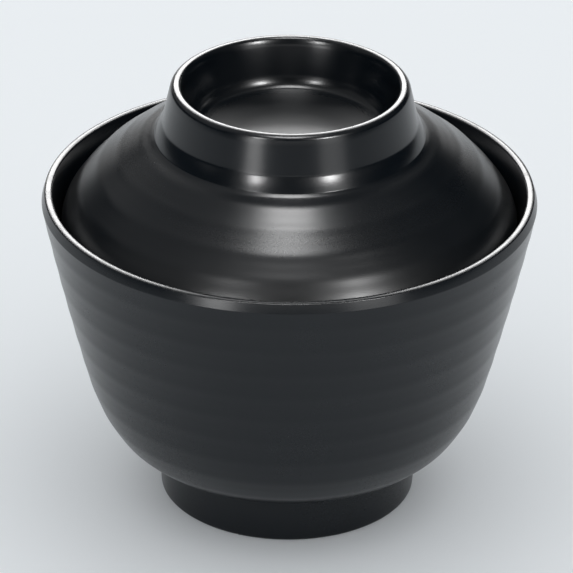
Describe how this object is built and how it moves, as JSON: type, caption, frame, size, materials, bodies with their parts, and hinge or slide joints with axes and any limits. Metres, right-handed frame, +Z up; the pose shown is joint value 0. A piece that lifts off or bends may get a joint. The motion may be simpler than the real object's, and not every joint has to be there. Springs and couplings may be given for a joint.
{
  "type": "rice bowl",
  "caption": "Covered rice bowl: a deep round bowl with a faintly ribbed flared wall on a foot ring, and a domed lid that sits inside the mouth and carries a grip ring.",
  "frame": {"origin": "centre of the flat face that the bowl's foot ring stands on", "axes": "+Z up along the axis that the bowl and the lid are turned about; +X and +Y are free directions of a round part, and the bowl is seen from -Y"},
  "size_m": [0.112, 0.112, 0.1013],
  "materials": {
    "bowl_melamine": "satin black melamine with a slight blue-grey cast",
    "lid_melamine": "satin black melamine with a slight blue-grey cast"
  },
  "bodies": {
    "bowl": {"bowl": "bowl_melamine"},
    "lid": {"lid": "lid_melamine"}
  },
  "joints": [
    {"name": "lid_lift", "type": "slide", "parent": "bowl", "child": "lid", "axis": [0, 0, 1], "range_m": [0, 0.12]}
  ]
}
